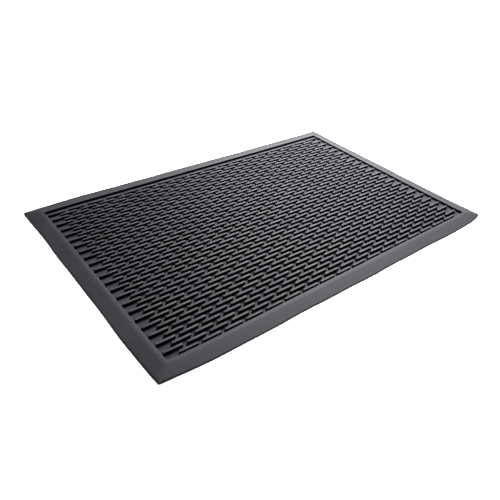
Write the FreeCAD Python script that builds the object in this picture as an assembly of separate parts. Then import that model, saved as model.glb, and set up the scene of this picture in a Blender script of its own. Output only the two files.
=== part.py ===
import FreeCAD, Part
import math
import os

# Rubber scraper mat, lying flat. X runs along its long sides and Y across it, from the
# front edge to the back edge. The origin is the middle of the underside, so Z = 0 is the
# floor that the mat lies on. All sizes are in millimetres.

# Overall size of the mat.
MAT_LENGTH = 914.4
MAT_WIDTH = 609.6

# Base sheet: the recessed floor between the bars, which also forms the mat's thin edge.
SHEET_THICKNESS = 2.0

# Sloping border, standing on the sheet: a low lip at the outer edge, a long ramp up to a
# narrow level crest, and a steep wall down to the recessed floor. The crest is as high as
# the bars.
RAMP_WIDTH = 28.7
CREST_WIDTH = 5.4
WALL_DRAFT = 1.2
LIP_HEIGHT = 0.3
CREST_HEIGHT = 5.9

# Scraper bars: short upright ribs in straight rows along X.
BAR_LENGTH = 38.4
BAR_THICKNESS = 5.0
BAR_HEIGHT = 5.9
BAR_CORNER_RADIUS = 1.3
BAR_TOP_CHAMFER = 0.4
END_GAP = 8.47
ROW_GAP = 7.04

# The field of bars sits a little off the middle of the mat, towards the front left corner,
# and keeps at least these strips of bare floor to the foot of the border's wall.
FIELD_SHIFT_X = -2.1
FIELD_SHIFT_Y = -4.95
LEAST_END_STRIP = 2.0
LEAST_SIDE_STRIP = 3.0

# Most rows that get a node of their own; on a wider mat, neighbouring rows share one.
MOST_ROW_NODES = 55

SHEET_TOP = SHEET_THICKNESS
BORDER_WIDTH = RAMP_WIDTH + CREST_WIDTH + WALL_DRAFT
BAR_PITCH = BAR_LENGTH + END_GAP
ROW_PITCH = BAR_THICKNESS + ROW_GAP


def save(solids, name):
    """Write one node: a single solid, or a group of separate solids."""
    shape = solids[0] if len(solids) == 1 else Part.makeCompound(solids)
    shape.exportStep("parts/" + name + ".step")


def base_sheet():
    """Flat sheet under everything, as long and as wide as the mat."""
    corner = FreeCAD.Vector(-MAT_LENGTH / 2, -MAT_WIDTH / 2, 0)
    return Part.makeBox(MAT_LENGTH, MAT_WIDTH, SHEET_THICKNESS, corner)


def border_side(length, offset, turn):
    """One side of the border, mitred at both ends.

    It is drawn along X on the front side of a mat of this length, with its outer edge at
    Y = -offset, and then turned about Z into its place.
    """
    profile = [
        (0, 0),
        (BORDER_WIDTH, 0),
        (RAMP_WIDTH + CREST_WIDTH, CREST_HEIGHT),
        (RAMP_WIDTH, CREST_HEIGHT),
        (0, LIP_HEIGHT),
    ]
    points = [FreeCAD.Vector(-length / 2, y - offset, SHEET_TOP + z) for y, z in profile]
    face = Part.Face(Part.makePolygon(points + points[:1]))
    strip = face.extrude(FreeCAD.Vector(length, 0, 0))

    plan = [
        (-length / 2, 0),
        (length / 2, 0),
        (length / 2 - BORDER_WIDTH, BORDER_WIDTH),
        (-length / 2 + BORDER_WIDTH, BORDER_WIDTH),
    ]
    corners = [FreeCAD.Vector(x, y - offset, SHEET_TOP) for x, y in plan]
    outline = Part.Face(Part.makePolygon(corners + corners[:1]))
    mitre = outline.extrude(FreeCAD.Vector(0, 0, CREST_HEIGHT))
    side = strip.common(mitre).Solids[0]
    side.rotate(FreeCAD.Vector(0, 0, 0), FreeCAD.Vector(0, 0, 1), turn)
    return side


def rounded_outline(length, thickness, radius, z):
    """Rectangle with round corners at height z, centred on the Z axis."""
    half_length = length / 2
    half_thickness = thickness / 2
    bulge = radius * (1 - math.sqrt(0.5))
    arcs = []
    for sx, sy in [(1, -1), (1, 1), (-1, 1), (-1, -1)]:
        on_end = FreeCAD.Vector(sx * half_length, sy * (half_thickness - radius), z)
        on_side = FreeCAD.Vector(sx * (half_length - radius), sy * half_thickness, z)
        middle = FreeCAD.Vector(sx * (half_length - bulge), sy * (half_thickness - bulge), z)
        first, last = (on_side, on_end) if sx * sy < 0 else (on_end, on_side)
        arcs.append((first, middle, last))
    edges = []
    for number, (first, middle, last) in enumerate(arcs):
        following = arcs[(number + 1) % len(arcs)][0]
        edges.append(Part.Arc(first, middle, last).toShape())
        edges.append(Part.LineSegment(last, following).toShape())
    return Part.Wire(edges)


def scraper_bar():
    """One bar standing on the sheet at X = Y = 0, with round corners and a chamfered top."""
    outline = rounded_outline(BAR_LENGTH, BAR_THICKNESS, BAR_CORNER_RADIUS, SHEET_TOP)
    bar = Part.Face(outline).extrude(FreeCAD.Vector(0, 0, BAR_HEIGHT))
    top = SHEET_TOP + BAR_HEIGHT
    rim = [edge for edge in bar.Edges if edge.BoundBox.ZMin > top - 1e-6]
    return bar.makeChamfer(BAR_TOP_CHAMFER, rim).Solids[0]


def most_that_fit(space, size, gap):
    """How many things of this size, this gap apart, fit in the space."""
    return int((space + gap) // (size + gap))


def scraper_rows():
    """The rows of bars from front to back, each a list of solids.

    The back row is a full one. Every second row in front of it has one bar less, and so its
    bars stand opposite the gaps of its neighbours.
    """
    end_margin = BORDER_WIDTH + LEAST_END_STRIP + abs(FIELD_SHIFT_X)
    side_margin = BORDER_WIDTH + LEAST_SIDE_STRIP + abs(FIELD_SHIFT_Y)
    full_count = most_that_fit(MAT_LENGTH - 2 * end_margin, BAR_LENGTH, END_GAP)
    row_count = most_that_fit(MAT_WIDTH - 2 * side_margin, BAR_THICKNESS, ROW_GAP)
    first_y = FIELD_SHIFT_Y - (row_count - 1) * ROW_PITCH / 2
    bar = scraper_bar()
    rows = []
    for row in range(row_count):
        from_back = row_count - 1 - row
        count = full_count - from_back % 2
        first_x = FIELD_SHIFT_X - (count - 1) * BAR_PITCH / 2
        y = first_y + row * ROW_PITCH
        solids = []
        for place in range(count):
            x = first_x + place * BAR_PITCH
            solids.append(bar.translated(FreeCAD.Vector(x, y, 0)))
        rows.append(solids)
    return rows


def main():
    os.makedirs("parts", exist_ok=True)
    save([base_sheet()], "base_sheet")

    half_length = MAT_LENGTH / 2
    half_width = MAT_WIDTH / 2
    save([border_side(MAT_LENGTH, half_width, 0)], "border_front")
    save([border_side(MAT_WIDTH, half_length, 90)], "border_right")
    save([border_side(MAT_LENGTH, half_width, 180)], "border_back")
    save([border_side(MAT_WIDTH, half_length, 270)], "border_left")

    rows = scraper_rows()
    share = math.ceil(len(rows) / MOST_ROW_NODES)
    for number, first in enumerate(range(0, len(rows), share), start=1):
        solids = [bar for row in rows[first:first + share] for bar in row]
        save(solids, "scraper_row_%02d" % number)
    print("rows:", len(rows), " bars:", sum(len(row) for row in rows))


main()
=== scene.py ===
import math
import random

import bmesh
import bpy
from mathutils import Matrix, Vector


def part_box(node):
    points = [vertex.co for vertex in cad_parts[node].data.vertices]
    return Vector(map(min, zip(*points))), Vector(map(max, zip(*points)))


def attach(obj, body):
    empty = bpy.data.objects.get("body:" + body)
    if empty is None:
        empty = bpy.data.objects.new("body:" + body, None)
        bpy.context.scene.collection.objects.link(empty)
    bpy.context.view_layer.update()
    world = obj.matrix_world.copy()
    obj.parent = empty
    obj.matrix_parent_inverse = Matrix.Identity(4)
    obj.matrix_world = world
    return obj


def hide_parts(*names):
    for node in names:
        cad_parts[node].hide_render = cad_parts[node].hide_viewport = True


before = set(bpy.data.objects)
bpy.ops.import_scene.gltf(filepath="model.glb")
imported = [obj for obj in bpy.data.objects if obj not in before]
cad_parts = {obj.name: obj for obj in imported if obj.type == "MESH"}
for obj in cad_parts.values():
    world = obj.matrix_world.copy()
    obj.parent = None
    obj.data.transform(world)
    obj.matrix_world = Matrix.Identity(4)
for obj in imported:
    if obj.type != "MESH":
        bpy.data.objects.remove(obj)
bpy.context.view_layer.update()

# Black rubber scraper mat on a pale studio floor. Lengths are in metres and angles in
# degrees. The places and sizes of the mat's features come from the frame's nodes.
MM = 0.001

# Fine shape that the mould gives to the sheet and the border.
RIM_ROUND = 0.5 * MM
PLAN_CORNER = 1.6 * MM
LIP_ROUND = 0.4 * MM
RAMP_BEND = 0.8 * MM
CREST_ROUND = 0.6 * MM
FOOT_ROUND = 0.6 * MM
MITRE_BLEND = 9.0 * MM
LEAST_BLEND = 0.1 * MM

# Fine shape of the bars: draft angle, round edges, and how far they lean and wear down.
BAR_DRAFT = 1.5
BAR_TOP_ROUND = 0.45 * MM
BAR_FOOT_FILLET = 0.45 * MM
BAR_CORNER = 1.3 * MM
BAR_LEAST_CORNER = 0.3 * MM
BAR_CORNER_STEPS = 4
BAR_LEAN = 1.0
BAR_WEAR = 0.015

# How far parts that stand on the sheet reach down into it, so that no light gets between.
BITE = 0.15 * MM

# How the corners lie: (pull along X, pull along Y, lift, reach along X, reach along Y,
# sharpness). A sharper corner bends more of its way close to its tip.
CORNER_LIE = {
    (-1, -1): (5.0 * MM, 7.2 * MM, 0.8 * MM, 200 * MM, 200 * MM, 3.2),
    (1, -1): (3.4 * MM, 11.0 * MM, 0.5 * MM, 110 * MM, 160 * MM, 3.2),
    (-1, 1): (-3.2 * MM, -5.6 * MM, 0.4 * MM, 127 * MM, 160 * MM, 1.6),
    (1, 1): (5.5 * MM, 1.2 * MM, 0.6 * MM, 300 * MM, 700 * MM, 2.0),
}

# Slow waviness of the four edges: two waves, one 2.3 times as fast as the other.
EDGE_WAVE = 0.9 * MM
EDGE_WAVE_LENGTH = 310 * MM
EDGE_WAVE_REACH = 60 * MM
SLOW_SHARE = 0.6
FAST_SHARE = 0.4
FAST_RATE = 2.3
FAST_PHASE = 2.1
RIGHT_PHASE = 0.7
LEFT_PHASE = 2.9
BACK_PHASE = 1.9
FRONT_PHASE = 4.2

# Spacing of mesh lines along the long runs, so that they can follow the lie of the mat, and
# how far the closer lines near the ends of a run stand in from its end.
RUN_STEP = 7.0 * MM
CLOSE_LINES = [place * MM for place in (0.0, 0.7, 1.4, 2.2, 3.0, 4.5, 6.5, 9.0, 13.0)]

# Spacing of the points of the border's section.
RAMP_STEP = 4.0 * MM
CREST_STEP = 0.8 * MM
WALL_STEP = 1.2 * MM
RAMP_MARGIN = 3.0 * MM
CREST_MARGIN = 2.2 * MM
WALL_MARGIN = 1.4 * CREST_ROUND

# Coordinates of the frame's mesh that are nearer than this are the same.
SAME = 0.01 * MM


# ---------------------------------------------------------------- how the mat lies

sheet_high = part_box("base_sheet")[1]
half_x = sheet_high.x
half_y = sheet_high.y


def rounded_corner(x, y):
    """Moves a point of the square-cornered plan to its place in the round-cornered one."""
    past_x = abs(x) - (half_x - PLAN_CORNER)
    past_y = abs(y) - (half_y - PLAN_CORNER)
    if past_x <= 0 or past_y <= 0:
        return x, y
    squeeze = max(past_x, past_y) / math.hypot(past_x, past_y)
    x = math.copysign(half_x - PLAN_CORNER + past_x * squeeze, x)
    y = math.copysign(half_y - PLAN_CORNER + past_y * squeeze, y)
    return x, y


def edge_wave(along, phase):
    """Slow sideways waviness of an edge."""
    turn = 2 * math.pi * along / EDGE_WAVE_LENGTH
    slow = SLOW_SHARE * math.sin(turn + phase)
    fast = FAST_SHARE * math.sin(FAST_RATE * turn + FAST_PHASE * phase)
    return EDGE_WAVE * (slow + fast)


def settled(point):
    """Where a point of the straight, flat mat ends up on the mat as it lies."""
    x, y = rounded_corner(point[0], point[1])
    near_end = max(0.0, 1.0 - (half_x - abs(x)) / EDGE_WAVE_REACH)
    near_side = max(0.0, 1.0 - (half_y - abs(y)) / EDGE_WAVE_REACH)
    move = Vector((
        near_end ** 2 * edge_wave(y, RIGHT_PHASE if x > 0 else LEFT_PHASE),
        near_side ** 2 * edge_wave(x, BACK_PHASE if y > 0 else FRONT_PHASE),
        0.0,
    ))
    for (end, side), (pull_x, pull_y, lift, reach_x, reach_y, sharpness) in CORNER_LIE.items():
        in_x = 1.0 - abs(end * half_x - x) / reach_x
        in_y = 1.0 - abs(side * half_y - y) / reach_y
        if in_x > 0 and in_y > 0:
            move += (in_x * in_y) ** sharpness * Vector((pull_x, pull_y, lift))
    return Vector((x, y, point[2])) + move


# ---------------------------------------------------------------- mesh helpers

def steps_between(start, end, step):
    """Evenly spaced places from start to end, about a step apart."""
    count = max(1, round(abs(end - start) / step))
    return [start + (end - start) * i / count for i in range(count + 1)]


def run_places(half_run):
    """Places along a run about its middle: close together at both ends, then a step apart."""
    close = [half_run - inward for inward in CLOSE_LINES]
    middle = steps_between(-close[-1], close[-1], RUN_STEP)
    return [-place for place in close[:-1]] + middle + close[-2::-1]


def make_piece(name, mesh_maker, material, node, sharp_angle=38.0):
    """Builds one piece in the mat's lie, gives it its finish and puts it in its node's place."""
    bm = bmesh.new()
    mesh_maker(bm)
    for vertex in bm.verts:
        vertex.co = settled(vertex.co)
    bmesh.ops.recalc_face_normals(bm, faces=bm.faces)
    mesh = bpy.data.meshes.new(name)
    bm.to_mesh(mesh)
    bm.free()
    mesh.polygons.foreach_set("use_smooth", [True] * len(mesh.polygons))
    mesh.set_sharp_from_angle(angle=math.radians(sharp_angle))
    mesh.materials.append(material)
    piece = bpy.data.objects.new(name, mesh)
    bpy.context.scene.collection.objects.link(piece)
    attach(piece, "root")
    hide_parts(node)


def skin_between(bm, low, high):
    """Quads between two closed rings of as many vertices."""
    for i in range(len(low)):
        j = (i + 1) % len(low)
        bm.faces.new((low[i], low[j], high[j], high[i]))


def skin_rings(bm, rings):
    """Joins closed rings of points into a tube of quads and caps both ends."""
    loops = [[bm.verts.new(point) for point in ring] for ring in rings]
    for low, high in zip(loops, loops[1:]):
        skin_between(bm, low, high)
    bm.faces.new(list(reversed(loops[0])))
    bm.faces.new(loops[-1])


# ---------------------------------------------------------------- base sheet

def sheet_face(bm, inset, z):
    """Flat grid of quads, and its outermost vertices in order round the edge."""
    columns = run_places(half_x)
    rows = run_places(half_y)
    columns[0] += inset
    columns[-1] -= inset
    rows[0] += inset
    rows[-1] -= inset
    grid = [[bm.verts.new((x, y, z)) for x in columns] for y in rows]
    for lower, upper in zip(grid, grid[1:]):
        for i in range(len(columns) - 1):
            bm.faces.new((lower[i], lower[i + 1], upper[i + 1], upper[i]))
    right = [row[-1] for row in grid[1:]]
    left = [row[0] for row in grid[1:-1]]
    return grid[0] + right + grid[-1][-2::-1] + left[::-1]


def base_sheet_mesh(bm):
    """Thin plate whose lower edge is rounded off where it meets the floor."""
    under = sheet_face(bm, RIM_ROUND, 0.0)
    top = sheet_face(bm, 0.0, sheet_high.z)
    last = under
    bulge = 0.3 * RIM_ROUND
    for inset, z in [(bulge, bulge), (0.0, RIM_ROUND)]:
        ring = []
        for vertex in top:
            x = math.copysign(min(abs(vertex.co.x), half_x - inset), vertex.co.x)
            y = math.copysign(min(abs(vertex.co.y), half_y - inset), vertex.co.y)
            ring.append(bm.verts.new((x, y, z)))
        skin_between(bm, last, ring)
        last = ring
    skin_between(bm, last, top)


# ---------------------------------------------------------------- border

def border_section():
    """Insets and heights that shape the border, read from the front one's node."""
    low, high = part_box("border_front")
    corners = [v.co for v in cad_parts["border_front"].data.vertices]
    crest = [v.y - low.y for v in corners if v.z > high.z - SAME]
    lip = max(v.z for v in corners if v.y < low.y + SAME)
    return lip, min(crest), max(crest), high.y - low.y, low.z, high.z


lip_top, crest_start, crest_end, wall_foot, border_base, crest_top = border_section()


def soft_least(a, b, blend):
    """The smaller of two values, with a smooth change from one to the other."""
    near = max(blend - abs(a - b), 0.0) / blend
    return min(a, b) - near * near * blend / 4


def ramp_height(inset):
    """Height of the ramp or the crest this far in from the mat's edge, with soft bends."""
    climb = lip_top + (crest_top - lip_top) * inset / crest_start
    height = soft_least(climb, crest_top, RAMP_BEND)
    if inset < LIP_ROUND:
        height -= LIP_ROUND - math.sqrt(LIP_ROUND ** 2 - (LIP_ROUND - inset) ** 2)
    return max(border_base, height)


def ramp_insets():
    """Where the section has points on the lip, up the ramp and across the crest."""
    lip = [LIP_ROUND * (1 - math.cos(math.radians(turn))) for turn in (0, 30, 60, 90)]
    ramp = steps_between(RAMP_MARGIN, crest_start - RAMP_MARGIN, RAMP_STEP)
    crest = steps_between(crest_start - CREST_MARGIN, crest_end - CREST_ROUND, CREST_STEP)
    return lip + ramp + crest


def wall_points():
    """Insets and heights down the wall: the crest's round edge, the face and its fillet."""
    slant = (wall_foot - crest_end) / (crest_top - border_base)
    points = []
    for turn in (25, 50, 75):
        over = math.radians(turn)
        drop = CREST_ROUND * (1 - math.cos(over))
        inset = crest_end - CREST_ROUND * (1 - math.sin(over)) + slant * drop
        points.append((inset, crest_top - drop))
    for height in steps_between(crest_top - WALL_MARGIN, border_base + FOOT_ROUND, WALL_STEP):
        points.append((crest_end + slant * (crest_top - height), height))
    for turn in (30, 60, 90):
        out = math.radians(turn)
        height = border_base + FOOT_ROUND * (1 - math.sin(out))
        inset = wall_foot - slant * (height - border_base) + FOOT_ROUND * (1 - math.cos(out))
        points.append((inset, height))
    return points


def border_mesh(run, outer, turn):
    """Maker of one mitred side of the border, drawn at the front and turned into place."""
    spin = Matrix.Rotation(math.radians(turn), 3, "Z")
    half_run = run / 2
    insets = ramp_insets()
    wall = wall_points()
    bottom = border_base - BITE

    def maker(bm):
        rings = []
        for place in run_places(half_run):
            ring = []
            for inset in insets:
                x = place * (half_run - inset) / half_run
                blend = min(MITRE_BLEND, 2 * (crest_end - CREST_ROUND - inset) + LEAST_BLEND)
                depth = max(0.0, soft_least(inset, half_run - abs(x), blend)) if inset > 0 else 0.0
                ring.append((x, inset, ramp_height(depth)))
            for inset, height in wall + [(wall[-1][0], bottom)]:
                ring.append((place * (half_run - inset) / half_run, inset, height))
            ring.append((place, 0.0, bottom))
            rings.append([spin @ Vector((x, inset - outer, z)) for x, inset, z in ring])
        skin_rings(bm, rings)
    return maker


# ---------------------------------------------------------------- scraper bars

row_nodes = sorted(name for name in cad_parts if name.startswith("scraper_row_"))


def row_layout():
    """Bar length and pitch, worked out from a full row and the shorter one beside it."""
    runs = []
    for name in row_nodes[:2]:
        low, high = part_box(name)
        runs.append(high.x - low.x)
    pitch = max(runs) - min(runs)
    count = math.ceil(max(runs) / pitch)
    return max(runs) - (count - 1) * pitch, pitch


bar_length, bar_pitch = row_layout()


def bar_outline(inset, thickness):
    """Plan of a bar, drawn in by an inset: a rectangle with round corners."""
    half_length = bar_length / 2 - inset
    half_thickness = thickness / 2 - inset
    radius = max(BAR_CORNER - inset, BAR_LEAST_CORNER)
    points = []
    for end, side, start in [(1, -1, -90), (1, 1, 0), (-1, 1, 90), (-1, -1, 180)]:
        centre = Vector((end * (half_length - radius), side * (half_thickness - radius)))
        for k in range(BAR_CORNER_STEPS + 1):
            turn = math.radians(start + 90 * k / BAR_CORNER_STEPS)
            points.append(centre + radius * Vector((math.cos(turn), math.sin(turn))))
    return points


def bar_levels(height):
    """Insets and heights of a bar's rings: foot fillet, drafted side and rounded top edge."""
    shoulder = height - BAR_TOP_ROUND
    draft = math.tan(math.radians(BAR_DRAFT))
    levels = [(-BAR_FOOT_FILLET, -BITE)]
    for turn in (0, 45, 90):
        away = math.radians(turn)
        inset = -BAR_FOOT_FILLET * (1 - math.sin(away))
        levels.append((inset, BAR_FOOT_FILLET * (1 - math.cos(away))))
    levels.append((draft * shoulder, shoulder))
    for turn in (30, 60, 90):
        over = math.radians(turn)
        levels.append((draft * shoulder + BAR_TOP_ROUND * (1 - math.cos(over)),
                       shoulder + BAR_TOP_ROUND * math.sin(over)))
    return levels


def scraper_row_mesh(node, seed):
    """Maker of one row of bars. No two bars are quite alike, as in any used rubber mat."""
    low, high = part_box(node)
    count = round((high.x - low.x - bar_length) / bar_pitch) + 1
    middle_y = (low.y + high.y) / 2

    def maker(bm):
        chance = random.Random(seed)
        for place in range(count):
            middle_x = low.x + bar_length / 2 + place * bar_pitch
            lean = math.tan(math.radians(chance.uniform(-BAR_LEAN, BAR_LEAN)))
            worn = 1.0 - chance.uniform(0.0, BAR_WEAR)
            rings = []
            for inset, rise in bar_levels(high.z - low.z):
                shift = Vector((middle_x, middle_y + lean * max(rise, 0.0), low.z + rise * worn))
                rings.append([shift + p.to_3d() for p in bar_outline(inset, high.y - low.y)])
            skin_rings(bm, rings)
    return maker


# ---------------------------------------------------------------- rubber

FLOAT = "NodeSocketFloat"
VECTOR = "NodeSocketVector"

# Height over which the scuffs and the painted highlight fade in, and how deep the pits are beside the
# pebbled skin.
SCUFF_HIGHLIGHT_FADE = 0.8 * MM
PIT_DEPTH = 0.45


def new_group(name, inputs, output):
    """Shader node group with these inputs and one output, and its input and output nodes."""
    group = bpy.data.node_groups.new(name, "ShaderNodeTree")
    for socket, kind, value in inputs:
        made = group.interface.new_socket(socket, in_out="INPUT", socket_type=kind)
        made.default_value = value
    group.interface.new_socket(output, in_out="OUTPUT", socket_type=FLOAT)
    return group, group.nodes.new("NodeGroupInput"), group.nodes.new("NodeGroupOutput")


def add(tree, kind, **values):
    """New node, with attributes and, for names that match a socket, input values set."""
    node = tree.nodes.new(kind)
    for key, value in values.items():
        if hasattr(node, key):
            setattr(node, key, value)
        else:
            node.inputs[key.replace("_", " ")].default_value = value
    return node


def math_node(tree, operation, first, second):
    """Math node whose two inputs are sockets or numbers; gives its output socket."""
    node = tree.nodes.new("ShaderNodeMath")
    node.operation = operation
    for place, value in enumerate((first, second)):
        if isinstance(value, (int, float)):
            node.inputs[place].default_value = value
        else:
            tree.links.new(value, node.inputs[place])
    return node.outputs[0]


def moulded_grain_group():
    """Height of the fine pebbled skin, with sparse pits, that a mould leaves on rubber."""
    group, source, result = new_group(
        "moulded_grain",
        [("Position", VECTOR, (0, 0, 0)), ("Pebble Scale", FLOAT, 900.0), ("Pit Scale", FLOAT, 260.0)],
        "Height",
    )
    link = group.links.new
    pebble = add(group, "ShaderNodeTexNoise", Detail=3.0, Roughness=0.6)
    pits = add(group, "ShaderNodeTexVoronoi")
    pit_shape = add(group, "ShaderNodeMapRange", From_Min=0.0, From_Max=0.35)
    link(source.outputs["Position"], pebble.inputs["Vector"])
    link(source.outputs["Pebble Scale"], pebble.inputs["Scale"])
    link(source.outputs["Position"], pits.inputs["Vector"])
    link(source.outputs["Pit Scale"], pits.inputs["Scale"])
    link(pits.outputs["Distance"], pit_shape.inputs["Value"])
    pitted = math_node(group, "MULTIPLY", pit_shape.outputs["Result"], PIT_DEPTH)
    link(math_node(group, "ADD", pitted, pebble.outputs["Fac"]), result.inputs["Height"])
    return group


def rubber_bloom_group():
    """Mask of the grey bloom that black rubber gathers in soft patches."""
    group, source, result = new_group(
        "rubber_bloom",
        [("Position", VECTOR, (0, 0, 0)), ("Patch Scale", FLOAT, 7.0), ("Amount", FLOAT, 0.5)],
        "Mask",
    )
    link = group.links.new
    patches = add(group, "ShaderNodeTexNoise", Detail=6.0, Roughness=0.62)
    shape = add(group, "ShaderNodeMapRange", From_Min=0.36, From_Max=0.70)
    link(source.outputs["Position"], patches.inputs["Vector"])
    link(source.outputs["Patch Scale"], patches.inputs["Scale"])
    link(patches.outputs["Fac"], shape.inputs["Value"])
    bloomed = math_node(group, "MULTIPLY", shape.outputs["Result"], source.outputs["Amount"])
    link(bloomed, result.inputs["Mask"])
    return group


def scuff_and_highlight_group():
    """Mask of scuffs where shoes reach, which also paints a highlight on the tops: above a height, in
    streaks along one direction.
    """
    group, source, result = new_group(
        "scuff_and_highlight",
        [("Position", VECTOR, (0, 0, 0)), ("Stretch", VECTOR, (60, 420, 60)), ("Above", FLOAT, 0.007),
         ("Amount", FLOAT, 0.5)],
        "Mask",
    )
    link = group.links.new
    split = add(group, "ShaderNodeSeparateXYZ")
    high_enough = add(group, "ShaderNodeMapRange")
    stretched = add(group, "ShaderNodeVectorMath", operation="MULTIPLY")
    streaks = add(group, "ShaderNodeTexNoise", Scale=1.0, Detail=5.0, Roughness=0.7)
    shape = add(group, "ShaderNodeMapRange", From_Min=0.42, From_Max=0.66)
    link(source.outputs["Position"], split.inputs[0])
    link(split.outputs["Z"], high_enough.inputs["Value"])
    link(source.outputs["Above"], high_enough.inputs["From Min"])
    link(math_node(group, "ADD", source.outputs["Above"], SCUFF_HIGHLIGHT_FADE), high_enough.inputs["From Max"])
    link(source.outputs["Position"], stretched.inputs[0])
    link(source.outputs["Stretch"], stretched.inputs[1])
    link(stretched.outputs[0], streaks.inputs["Vector"])
    link(streaks.outputs["Fac"], shape.inputs["Value"])
    streaked = math_node(group, "MULTIPLY", shape.outputs["Result"], high_enough.outputs["Result"])
    link(math_node(group, "MULTIPLY", streaked, source.outputs["Amount"]), result.inputs["Mask"])
    return group


def caught_dust_group():
    """Mask of pale specks of grit and dust that lie on the surface."""
    group, source, result = new_group(
        "caught_dust",
        [("Position", VECTOR, (0, 0, 0)), ("Speck Scale", FLOAT, 700.0), ("Amount", FLOAT, 0.3)],
        "Mask",
    )
    link = group.links.new
    specks = add(group, "ShaderNodeTexNoise", Detail=2.0, Roughness=0.8)
    drift = add(group, "ShaderNodeTexNoise", Scale=22.0, Detail=4.0)
    speck_shape = add(group, "ShaderNodeMapRange", From_Min=0.60, From_Max=0.74)
    drift_shape = add(group, "ShaderNodeMapRange", From_Min=0.40, From_Max=0.65)
    link(source.outputs["Position"], specks.inputs["Vector"])
    link(source.outputs["Speck Scale"], specks.inputs["Scale"])
    link(source.outputs["Position"], drift.inputs["Vector"])
    link(specks.outputs["Fac"], speck_shape.inputs["Value"])
    link(drift.outputs["Fac"], drift_shape.inputs["Value"])
    lying = math_node(group, "MULTIPLY", speck_shape.outputs["Result"], drift_shape.outputs["Result"])
    link(math_node(group, "MULTIPLY", lying, source.outputs["Amount"]), result.inputs["Mask"])
    return group


moulded_grain = moulded_grain_group()
rubber_bloom = rubber_bloom_group()
scuff_and_highlight = scuff_and_highlight_group()
caught_dust = caught_dust_group()

FRESH_BLACK = (0.0106, 0.0112, 0.0134, 1)
BLOOM_GREY = (0.0210, 0.0225, 0.0265, 1)
# Lighter grey of the scuffs. It is partly wear and partly a painted highlight on the crest and the bar
# tops.
SCUFF_AND_HIGHLIGHT_GREY = (0.040, 0.041, 0.046, 1)
DUST_GREY = (0.100, 0.098, 0.092, 1)
RUBBER_IOR = 1.52

# What bloom and scuffs add to the roughness, and how strongly the grain shows.
BLOOM_ROUGHNESS = 0.12
SCUFF_ROUGHNESS = -0.08
GRAIN_STRENGTH = 0.7


def placed(tree, group, position, **values):
    """One of the effects, placed in a material with its own values; gives its output socket."""
    node = tree.nodes.new("ShaderNodeGroup")
    node.node_tree = group
    tree.links.new(position, node.inputs["Position"])
    for key, value in values.items():
        node.inputs[key.replace("_", " ")].default_value = value
    return node.outputs[0]


def tinted(tree, mask, under, over):
    """Mixes a colour over another one, or over a colour socket, by a mask."""
    mix = add(tree, "ShaderNodeMix", data_type="RGBA")
    mix.inputs["B"].default_value = over
    if isinstance(under, tuple):
        mix.inputs["A"].default_value = under
    else:
        tree.links.new(under, mix.inputs["A"])
    tree.links.new(mask, mix.inputs["Factor"])
    return mix.outputs["Result"]


def rubber(name, roughness, gloss, bloom, dust, pebble_scale, grain_depth,
           scuff_highlight=0.0, scuff_highlight_above=0.0, scuff_highlight_stretch=(60, 60, 60)):
    """Black moulded rubber with bloom, scuffs and dust in colour and gloss, and grain in relief. The
    scuff colour also paints a highlight on the surfaces above its height.
    """
    material = bpy.data.materials.new(name)
    material.use_nodes = True
    tree = material.node_tree
    tree.nodes.clear()
    link = tree.links.new
    out = tree.nodes.new("ShaderNodeOutputMaterial")
    shader = add(tree, "ShaderNodeBsdfPrincipled", IOR=RUBBER_IOR, Specular_IOR_Level=gloss)
    position = tree.nodes.new("ShaderNodeTexCoord").outputs["Object"]
    grain = placed(tree, moulded_grain, position, Pebble_Scale=pebble_scale)
    bloomed = placed(tree, rubber_bloom, position, Amount=bloom)
    scuff_highlight_mask = placed(tree, scuff_and_highlight, position, Amount=scuff_highlight, Above=scuff_highlight_above, Stretch=scuff_highlight_stretch)
    dusty = placed(tree, caught_dust, position, Amount=dust)

    colour = tinted(tree, bloomed, FRESH_BLACK, BLOOM_GREY)
    # Scuffs lighten the surfaces above a height: partly wear, partly a painted highlight.
    colour = tinted(tree, scuff_highlight_mask, colour, SCUFF_AND_HIGHLIGHT_GREY)
    colour = tinted(tree, dusty, colour, DUST_GREY)
    link(colour, shader.inputs["Base Color"])

    dull = math_node(tree, "MULTIPLY", bloomed, BLOOM_ROUGHNESS)
    polish = math_node(tree, "MULTIPLY", scuff_highlight_mask, SCUFF_ROUGHNESS)
    shine = math_node(tree, "ADD", math_node(tree, "ADD", dull, polish), roughness)
    link(shine, shader.inputs["Roughness"])

    bump = add(tree, "ShaderNodeBump", Strength=GRAIN_STRENGTH, Distance=grain_depth)
    link(grain, bump.inputs["Height"])
    link(bump.outputs["Normal"], shader.inputs["Normal"])
    link(shader.outputs["BSDF"], out.inputs["Surface"])
    return material


# Shoes don't reach the sheet. They scuff the crest of the border and the tops of the bars, and the
# lighter scuff colour there is also a painted highlight.
sheet_rubber = rubber(
    "sheet_rubber", roughness=0.72, gloss=0.065, bloom=0.6, dust=0.5,
    pebble_scale=800.0, grain_depth=0.05 * MM,
)
border_rubber = rubber(
    "border_rubber", roughness=0.66, gloss=0.10, bloom=0.5, dust=0.2,
    pebble_scale=1000.0, grain_depth=0.04 * MM,
    scuff_highlight=0.40, scuff_highlight_above=6.9 * MM, scuff_highlight_stretch=(420, 420, 60),
)
bar_rubber = rubber(
    "bar_rubber", roughness=0.66, gloss=0.10, bloom=0.5, dust=0.1,
    pebble_scale=1000.0, grain_depth=0.04 * MM,
    scuff_highlight=0.8, scuff_highlight_above=7.2 * MM, scuff_highlight_stretch=(60, 420, 60),
)


# ---------------------------------------------------------------- the mat

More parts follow.
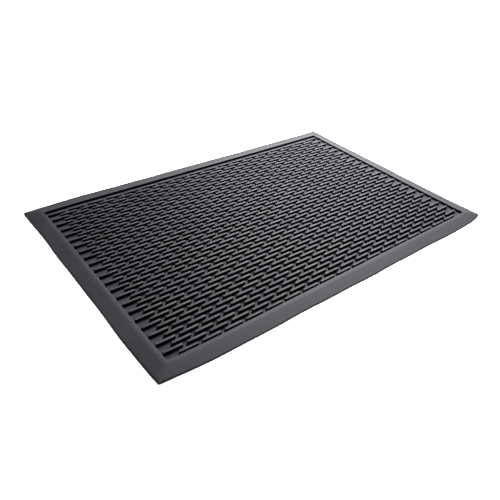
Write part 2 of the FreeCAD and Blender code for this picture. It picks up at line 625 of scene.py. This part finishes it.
def build_mat():
    """All 49 pieces: the sheet, the four sides of the border and the rows of bars."""
    make_piece("mat_base_sheet", base_sheet_mesh, sheet_rubber, "base_sheet")
    sides = [
        ("front", 2 * half_x, half_y, 0),
        ("right", 2 * half_y, half_x, 90),
        ("back", 2 * half_x, half_y, 180),
        ("left", 2 * half_y, half_x, 270),
    ]
    for side, run, outer, turn in sides:
        make_piece("mat_border_" + side, border_mesh(run, outer, turn), border_rubber,
                   "border_" + side)
    for number, node in enumerate(row_nodes, start=1):
        make_piece("mat_scraper_row_%02d" % number, scraper_row_mesh(node, number), bar_rubber,
                   node)


# ---------------------------------------------------------------- floor, light and camera

# The floor is wide enough to reach the horizon, and a hair below the mat's underside.
FLOOR_SIZE = 60.0
FLOOR_DROP = 0.05 * MM
FLOOR_WHITE = (0.99, 0.99, 0.99, 1)
FLOOR_ROUGHNESS = 0.9

# The room itself gives little light, so that the hollows between the bars stay black. It
# looks pale where the camera sees it past the floor.
WHITE = (1, 1, 1, 1)
ROOM_LIGHT = 0.02
ROOM_PALE = 1.0

# Wide key light from behind on the right, given by its azimuth, elevation and angular size.
KEY_ENERGY = 4.3
KEY_AZIMUTH = 122
KEY_ELEVATION = 47
KEY_ANGLE = 22
KEY_DISTANCE = 4.0

# Softbox over the far right side of the mat.
SOFTBOX_PLACE = Vector((0.85, 0.70, 0.95))
SOFTBOX_AIM = Vector((0.30, 0.02, 0.0))
SOFTBOX_SIZE = 0.8
SOFTBOX_ENERGY = 37.0
SOFTBOX_SPREAD = 84


def build_floor():
    """Plain pale floor, which isn't part of the object."""
    bm = bmesh.new()
    bmesh.ops.create_grid(bm, x_segments=1, y_segments=1, size=FLOOR_SIZE / 2)
    mesh = bpy.data.meshes.new("studio_floor")
    bm.to_mesh(mesh)
    bm.free()
    floor = bpy.data.objects.new("studio_floor", mesh)
    floor.location.z = -FLOOR_DROP
    bpy.context.scene.collection.objects.link(floor)
    material = bpy.data.materials.new("pale_floor")
    material.use_nodes = True
    shader = material.node_tree.nodes["Principled BSDF"]
    shader.inputs["Base Color"].default_value = FLOOR_WHITE
    shader.inputs["Roughness"].default_value = FLOOR_ROUGHNESS
    mesh.materials.append(material)


def direction(azimuth, elevation):
    """Unit vector towards a place around the mat. Azimuth 0 is in front and 90 to the right."""
    a = math.radians(azimuth)
    e = math.radians(elevation)
    return Vector((math.sin(a) * math.cos(e), -math.cos(a) * math.cos(e), math.sin(e)))


def put_facing(name, data, place, target):
    """Puts a light or a camera in its place, facing a target."""
    thing = bpy.data.objects.new(name, data)
    thing.location = place
    thing.rotation_mode = "QUATERNION"
    thing.rotation_quaternion = (target - place).to_track_quat("-Z", "Y")
    bpy.context.scene.collection.objects.link(thing)
    return thing


def build_room():
    """The world: it lights the mat dimly, and looks pale to the camera."""
    world = bpy.data.worlds.new("studio")
    world.use_nodes = True
    tree = world.node_tree
    tree.nodes.clear()
    dim = add(tree, "ShaderNodeBackground", Color=WHITE, Strength=ROOM_LIGHT)
    pale = add(tree, "ShaderNodeBackground", Color=WHITE, Strength=ROOM_PALE)
    seen = add(tree, "ShaderNodeLightPath").outputs["Is Camera Ray"]
    blend = add(tree, "ShaderNodeMixShader")
    out = add(tree, "ShaderNodeOutputWorld")
    tree.links.new(seen, blend.inputs["Fac"])
    tree.links.new(dim.outputs[0], blend.inputs[1])
    tree.links.new(pale.outputs[0], blend.inputs[2])
    tree.links.new(blend.outputs[0], out.inputs["Surface"])
    bpy.context.scene.world = world


def build_light():
    """The key light and the softbox, with their colours shown as they are."""
    key = bpy.data.lights.new("wide_key", "SUN")
    key.energy = KEY_ENERGY
    key.angle = math.radians(KEY_ANGLE)
    middle = Vector((0, 0, 0))
    put_facing("wide_key", key, KEY_DISTANCE * direction(KEY_AZIMUTH, KEY_ELEVATION), middle)

    box = bpy.data.lights.new("back_softbox", "AREA")
    box.shape = "SQUARE"
    box.size = SOFTBOX_SIZE
    box.energy = SOFTBOX_ENERGY
    box.spread = math.radians(SOFTBOX_SPREAD)
    put_facing("back_softbox", box, SOFTBOX_PLACE, SOFTBOX_AIM)

    bpy.context.scene.view_settings.view_transform = "Standard"


CAMERA_AIM = Vector((-0.1144, -0.0949, 0.0))
CAMERA_DISTANCE = 1.0916
CAMERA_AZIMUTH = -40.61
CAMERA_ELEVATION = 35.81
CAMERA_ROLL = 4.31
CAMERA_LENS = 36.485
CAMERA_SENSOR = 36.0
CAMERA_NEAREST = 50 * MM
CAMERA_FURTHEST = 80


def build_camera():
    """Camera at the front left, looking down on the mat. Lens and sensor are in millimetres."""
    data = bpy.data.cameras.new("camera")
    data.lens = CAMERA_LENS
    data.sensor_width = CAMERA_SENSOR
    data.clip_start = CAMERA_NEAREST
    data.clip_end = CAMERA_FURTHEST
    back = direction(CAMERA_AZIMUTH, CAMERA_ELEVATION)
    camera = put_facing("camera", data, CAMERA_AIM + back * CAMERA_DISTANCE, CAMERA_AIM)
    roll = Matrix.Rotation(math.radians(CAMERA_ROLL), 4, "Z").to_quaternion()
    camera.rotation_quaternion = camera.rotation_quaternion @ roll
    bpy.context.scene.camera = camera


build_mat()
build_floor()
build_room()
build_light()
build_camera()
